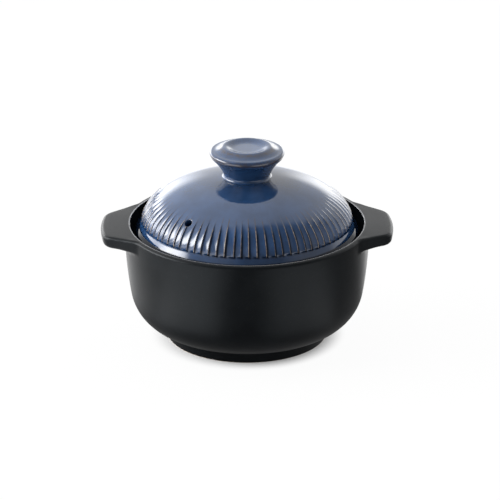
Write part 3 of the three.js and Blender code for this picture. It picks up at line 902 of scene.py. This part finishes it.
hole_angle = dome_angle(DOME_RADIUS - HOLE_INSET)
hole_mouth = dome_point(hole_angle)
drill_way = (hole_mouth - dome_point(hole_angle, LID_THICKNESS)).normalized()
around = Matrix.Rotation(-math.pi / 2 - HOLE_ANGLE, 4, "Z")
shift = Matrix.Translation((hole_mouth.x * MM, 0, hole_mouth.y * MM))
lean = Matrix.Rotation(math.atan2(drill_way.x, drill_way.y), 4, "Y")

flank = [(HOLE_RADIUS + wider, height) for wider, height in DRILL_MOUTH + DRILL_TAIL]
drill_bm, _ = turn_section([(0, DRILL_TOP), *flank, (0, DRILL_END)], DRILL_STEPS, closed=False)
bmesh.ops.transform(drill_bm, matrix=around @ shift @ lean, verts=drill_bm.verts)
drill = new_object(drill_bm, "drill")
hole_centre = (around @ shift).translation / MM
hole_way = (around @ lean).to_3x3() @ Vector((0, 0, 1))
print("hole at", [round(c, 1) for c in hole_centre])

# %% Drill the steam hole
cut = lid_piece.modifiers.new("steam_hole", "BOOLEAN")
cut.operation = "DIFFERENCE"
cut.solver = "EXACT"
cut.object = drill
bpy.context.view_layer.update()
shown = lid_piece.evaluated_get(bpy.context.evaluated_depsgraph_get())
drilled_mesh = bpy.data.meshes.new_from_object(shown)
lid_piece.modifiers.clear()
lid_piece.data = drilled_mesh
bpy.data.objects.remove(drill)
print("lid after drilling:", len(drilled_mesh.polygons), "faces")

# %% [markdown]
# ## Where the glaze breaks
# Blue glaze runs off every sharp edge while it is molten and lets the brown clay show through. On the lid
# that is along each ridge, in a brown haze where the ridges start, and around the hole. Beside the ridges
# and under their ends it runs together in dark pools, which painted shade darkens further. The brim, in the
# shade of the rim, and the crown round the knob get painted shade alone. Painting this by hand would be
# slow, but each point knows where it lies, so its shares are worked out and stored as attributes for the
# material.

# %% Where a point lies on the lid
OUTSIDE_SHARE = 0.965  # points further in than this share of the dome belong to the inside
SEAT_MARGIN = 0.1
LOWEST_SINE = -0.2  # below the shoulder


def hump(value, start, full, ebb, end):
    """A soft rise from 0 at start to 1 at full, and a fall from ebb to 0 at end."""
    return smooth(value, start, full) * (1 - smooth(value, ebb, end))


def flute_place(p):
    """The flute that a point lies in, and its place across and along that flute, both as shares."""
    turn = polar(p)
    while turn < ridge_turns[0]:
        turn += 2 * math.pi
    flute = min(bisect_right(ridge_turns, turn), FLUTE_COUNT) - 1
    across = (turn - ridge_turns[flute]) / (ridge_turns[flute + 1] - ridge_turns[flute])
    sine = (p[2] - SHOULDER_HEIGHT) / DOME_RISE
    return flute, across, flute_share(math.asin(max(LOWEST_SINE, min(1.0, sine))))


def on_outside(p):
    """Whether a point lies on the glazed outside and not on the seat or the hollow."""
    across, up = math.hypot(p[0], p[1]) / DOME_RADIUS, (p[2] - SHOULDER_HEIGHT) / DOME_RISE
    return p[2] > SEAT_HEIGHT + SEAT_MARGIN and math.hypot(across, up) > OUTSIDE_SHARE


def on_seat(p):
    """Whether a point lies on the part of the seat that is wiped bare."""
    return p[2] < SEAT_HEIGHT + SEAT_MARGIN and math.hypot(p[0], p[1]) < BARE_RADIUS + SEAT_MARGIN


points = [vert.co / MM for vert in drilled_mesh.vertices]
outside = [on_outside(p) for p in points]
print("points on the outside:", sum(outside), "of", len(outside))

# %% How bare the glaze is at a point, and how dark its pools and painted shade make it
RIDGE_BARE = 0.12  # half-width of the bare line on a ridge, as a share of a flute's width
STEEP_BARE = RIDGE_BARE / 2  # the same on its steep side
LINE_ALONG = (-0.1, 0.35, 0.95, 1.0)  # where along a flute the line comes and goes
HAZE_WIDTH, HAZE_ALONG, HAZE_SHARE = 0.25, (-0.24, 0.0, 0.15, 0.5), 0.5
SIDE_WEAR, FRONT_WEAR = 0.84, 0.16  # the ridges in front are barer
HOLE_EDGE, HOLE_EDGE_WIDTH, HOLE_SHARE = 0.4, 1.2, 0.5
FAINT_POOL_SHADE = 0.3  # up to here the pools and painted shade only darken, and only past it do they also dull the shine
BRIM_SHADE = (-0.1, 0.8)  # heights above the root of the brim between which its painted shade ends
KNOB_SHADE = (24.0, 46.0)  # radii between which the faint painted shade round the knob ends
STEEP_POOL_SHADE_ACROSS, STEEP_POOL_SHADE_ALONG = (0.02, 0.06, 0.16, 0.36), (0.05, 0.45)  # the pooled glaze and painted shade on the steep side of a ridge
# The pooled glaze and painted shade under the lower end of a ridge, and where they stop.
END_POOL_SHADE, END_POOL_SHADE_GAP, END_POOL_SHADE_SHARE = (0.91, 0.95), (0.06, 0.3, 0.4, 0.65), 0.6
POOL_SHADE_STOP = (0.99, 1.04)
LEFT_POOL_SHADE, LEFT_POOL_SHADE_REACH = 0.3, (-70.0, -15.0)  # the pools and painted shade are fainter on the left


def ridge_break(p):
    """The share of bare edge that a point of the dome has from the nearest ridge."""
    flute, across, share = flute_place(p)
    ridge = flute if across < 0.5 else (flute + 1) % FLUTE_COUNT
    wear = ridge_wear[ridge] * (SIDE_WEAR - FRONT_WEAR * p[1] / DOME_RADIUS)
    line = max(0.0, 1 - across / STEEP_BARE, 1 - (1 - across) / RIDGE_BARE) * hump(share, *LINE_ALONG)
    haze = max(0.0, 1 - min(across, 1 - across) / HAZE_WIDTH) * hump(share, *HAZE_ALONG)
    return wear * max(line, HAZE_SHARE * haze)


def hole_break(p):
    """The share of bare edge around the steam hole."""
    off_axis = (p - hole_centre).cross(hole_way).length
    return max(0.0, HOLE_SHARE - abs(off_axis - HOLE_RADIUS - HOLE_EDGE) / HOLE_EDGE_WIDTH)


def lid_pool_and_shade(p):
    """How much pooled glaze and painted shade darken a point of the outside; the brim and the crown round
    the knob get painted shade alone.
    """
    above_brim = p[2] - BRIM_ROOT[1]
    # The brim lies under the rim in shade, so it is painted dark with shade.
    if above_brim < BRIM_SHADE[1]:
        return 1 - smooth(above_brim, *BRIM_SHADE)
    # painted shade round the foot of the knob
    crown = FAINT_POOL_SHADE * (1 - smooth(math.hypot(p[0], p[1]), *KNOB_SHADE))
    _, across, share = flute_place(p)
    # pooled glaze, darkened further with painted shade, on the steep side of a ridge and under its end
    beside = hump(across, *STEEP_POOL_SHADE_ACROSS) * smooth(share, *STEEP_POOL_SHADE_ALONG)
    below = smooth(share, *END_POOL_SHADE) * (1 - hump(across, *END_POOL_SHADE_GAP))
    pool_shade = max(beside, END_POOL_SHADE_SHARE * below) * (1 - smooth(share, *POOL_SHADE_STOP))
    return max(pool_shade * (LEFT_POOL_SHADE + (1 - LEFT_POOL_SHADE) * smooth(p[0], *LEFT_POOL_SHADE_REACH)), crown)


# the brim is painted in full shade
print("pool on the brim:", lid_pool_and_shade((BRIM_RADIUS, 0, BRIM_TOP)))

# %% Store the breaks, the pools and the bare seat of the lid
# The second share is the pooled glaze and the painted shade.
shares = {
    "glaze_break": [max(ridge_break(p), hole_break(p)) if out else 0.0 for p, out in zip(points, outside)],
    "glaze_pool_and_shade": [lid_pool_and_shade(p) if out else 0.0 for p, out in zip(points, outside)],
    "bare_clay": [1.0 if on_seat(p) else 0.0 for p in points],
}
for name, values in shares.items():
    drilled_mesh.attributes.new(name, "FLOAT", "POINT").data.foreach_set("value", values)
    print(name, "is over one half at", sum(1 for value in values if value > 0.5), "points")
drilled_mesh.polygons.foreach_set("use_smooth", [True] * len(drilled_mesh.polygons))

# %% [markdown]
# ## The knob
# The knob is thrown by itself and luted to the crown. Its neck flares out in a hollow curve and rolls over
# in a rounded edge. A shoulder that swells up to a crest and a shallow dish make its top. A hollow below
# keeps its wall even, so that it doesn't crack in the kiln. It is one more section for the wheel.

# %% The knob's section, from the hollow over the neck and the edge to the dish
KNOB_CREST, CREST_RADIUS = 147.41, 16.5
EDGE_RADIUS, EDGE_ROUND, EDGE_DROP = 27.6, 2.3, 5.6  # the edge's middle lies this far below the crest
NECK_RADIUS, NECK_SPREAD, NECK_RISE = 17.2, 1.5, 2.1
LUTE_DEPTH = 0.12  # how far the knob sinks into the slip on the dome
SPREAD_BEND = (0.1, 0.4)  # from the neck's radius and from the height of its foot
FLARE_TOP, FLARE_BEND = (25.0, 137.8), (19.0, 131.2)
ROLL_BEND = 140.0  # height
SWELL_BENDS = (21.4, 18.95)  # radii
DISH_DEPTH, DISH_RADIUS = 1.8, 8.25
DISH_BENDS = (0.86 * CREST_RADIUS, 0.74 * CREST_RADIUS)
DISH_RINGS = (4.0, 0.0)
TOP_THICKNESS, HOLLOW_RADIUS, HOLLOW_CORNER = 7.8, 10.0, 4.0
HOLLOW_ROWS, BEND_ROWS, SWELL_ROWS, DISH_ROWS = 6, 8, 20, 12


def dome_height(radius):
    """The height of the dome at a radius."""
    return dome_point(dome_angle(radius)).y


neck_foot = (NECK_RADIUS + NECK_SPREAD, dome_height(NECK_RADIUS + NECK_SPREAD) - LUTE_DEPTH)
neck_bend = (NECK_RADIUS + SPREAD_BEND[0], neck_foot[1] + SPREAD_BEND[1])
neck_low = (NECK_RADIUS, dome_height(NECK_RADIUS) + NECK_RISE)
edge_centre = Vector((EDGE_RADIUS - EDGE_ROUND, KNOB_CREST - EDGE_DROP))
edge_top = edge_centre.y + EDGE_ROUND
dish_floor = KNOB_CREST - DISH_DEPTH
hollow_top = dish_floor - TOP_THICKNESS

hollow = rounded_line(
    [(0, hollow_top), (HOLLOW_RADIUS, hollow_top), (HOLLOW_RADIUS, dome_height(HOLLOW_RADIUS) - LUTE_DEPTH)],
    [HOLLOW_CORNER],
    steps=HOLLOW_ROWS,
)
neck = bend([neck_foot, neck_bend, neck_low], BEND_ROWS)
flare = bend([neck_low, FLARE_BEND, FLARE_TOP], BEND_ROWS)[1:-1]  # the neck and the roll have its ends
roll = bend([FLARE_TOP, (EDGE_RADIUS, ROLL_BEND), (EDGE_RADIUS, edge_centre.y)], BEND_ROWS)
edge = arc(edge_centre, EDGE_ROUND, 0, 90, BEND_ROWS)
crest = (CREST_RADIUS, KNOB_CREST)
swell_bends = (SWELL_BENDS[0], edge[-1].y), (SWELL_BENDS[1], KNOB_CREST)
swell = bend([edge[-1], *swell_bends, crest], SWELL_ROWS)
dish_bends = (DISH_BENDS[0], KNOB_CREST), (DISH_BENDS[1], dish_floor)
dish = bend([swell[-1], *dish_bends, (DISH_RADIUS, dish_floor)], DISH_ROWS)
dish_middle = [(radius, dish_floor) for radius in DISH_RINGS]
knob_section = joined(hollow, neck, flare, roll, edge, swell, dish, dish_middle)
print("rows of the knob:", len(knob_section))

# %% Turn the knob and store where its glaze breaks
KNOB_STEPS = 160
EDGE_BREAK, EDGE_BREAK_WIDTH, EDGE_BREAK_DROP = 0.44, 13.0, 0.3
SWELL_BREAK, SWELL_BREAK_WIDTH, SWELL_BREAK_RADIUS = 0.42, 12.0, 19.4

knob_bm, _ = turn_section(knob_section, KNOB_STEPS, closed=False)
break_layer = knob_bm.verts.layers.float.new("glaze_break")
for vert in knob_bm.verts:
    radius, height = math.hypot(vert.co.x, vert.co.y) / MM, vert.co.z / MM
    share = 0.0
    if radius > edge_centre.x:
        off_edge = abs(height - edge_centre.y + EDGE_BREAK_DROP)
        share = max(share, EDGE_BREAK - off_edge / EDGE_BREAK_WIDTH)
    if height > edge_top:
        off_swell = abs(radius - SWELL_BREAK_RADIUS)
        share = max(share, SWELL_BREAK - off_swell / SWELL_BREAK_WIDTH)
    vert[break_layer] = share
knob_piece = set_down(knob_bm, "lid_knob_glazed", "lid", ["lid_knob"])

# %% [markdown]
# ## The blue glaze
# The lid's glaze is a glossy navy. It is a little darker and lighter in clouds, almost black in the pools
# and the painted shade, and thins to rust and then to beige clay where it breaks over an edge, which is what
# the stored shares are for. A colour ramp could do the last of these, but mixes one after the other let each
# colour have its own soft range. Noise frays the breaks, so that no two ridges look the same.

# %% Mix the blue glaze
NAVY_DEEP = (0.0110, 0.0335, 0.088, 1)
NAVY_THIN = (0.0198, 0.0514, 0.128, 1)
NAVY_POOL_AND_SHADE = (0.0025, 0.0055, 0.0130, 1)
RUST = (0.036, 0.026, 0.026, 1)
BEIGE_CLAY = (0.42, 0.36, 0.31, 1)
RUST_RANGE, BEIGE_RANGE, DULL_RANGE = (0.22, 0.48), (0.45, 0.85), (0.3, 0.9)  # of the frayed break
NAVY_CLOUD_SCALE, FRAY_SCALE, FRAY = 60.0, 420.0, (0.72, 1.22)
NAVY_RANGE, FRAY_RANGE = (0.36, 0.66), (0.25, 0.75)  # of the noise
RIPPLE_SCALE, RIPPLE, RIPPLE_DEPTH = 300.0, 0.10, 0.00025
GLOSS, EDGE_DULL, SEAT_DULL = 0.03, 0.28, 0.9
SHINE, POOL_AND_SHADE_SHINE = 0.5, 0.08

blue_glaze, tree, shader = new_material("blue_glaze")
place = object_place(tree)
clouds = noise(tree, place, NAVY_CLOUD_SCALE, detail=5.0)
fray = mapped(tree, noise(tree, place, FRAY_SCALE, detail=3.0), *FRAY_RANGE, *FRAY)
frayed_break = computed(tree, "MULTIPLY", fray, stored(tree, "glaze_break"))
pool_and_shade = stored(tree, "glaze_pool_and_shade")
seat = stored(tree, "bare_clay")
glaze = mix_colours(tree, mapped(tree, clouds, *NAVY_RANGE, 0, 1), NAVY_DEEP, NAVY_THIN)
# almost black in the pools and in the painted shade
glaze = mix_colours(tree, pool_and_shade, glaze, NAVY_POOL_AND_SHADE)
glaze = mix_colours(tree, mapped(tree, frayed_break, *RUST_RANGE, 0, 1), glaze, RUST)
glaze = mix_colours(tree, mapped(tree, frayed_break, *BEIGE_RANGE, 0, 1), glaze, BEIGE_CLAY)
glaze = mix_colours(tree, seat, glaze, BARE_CLAY)
gloss = mapped(tree, frayed_break, *DULL_RANGE, GLOSS, EDGE_DULL)
gloss_or_dry = computed(tree, "MAXIMUM", gloss, mapped(tree, seat, 0, 1, 0, SEAT_DULL))
finish(tree, shader, glaze, gloss_or_dry, grain_bump(tree, place, RIPPLE_SCALE, RIPPLE, RIPPLE_DEPTH))
# the pools and the painted shade past their faint edge are also less shiny
tree.links.new(mapped(tree, pool_and_shade, FAINT_POOL_SHADE, 1, SHINE, POOL_AND_SHADE_SHINE), shader.inputs["Specular IOR Level"])
shader.inputs["IOR"].default_value = 1.55
for piece in (lid_piece, knob_piece):
    piece.data.materials.append(blue_glaze)
print("blue glaze on", lid_piece.name, "and", knob_piece.name)
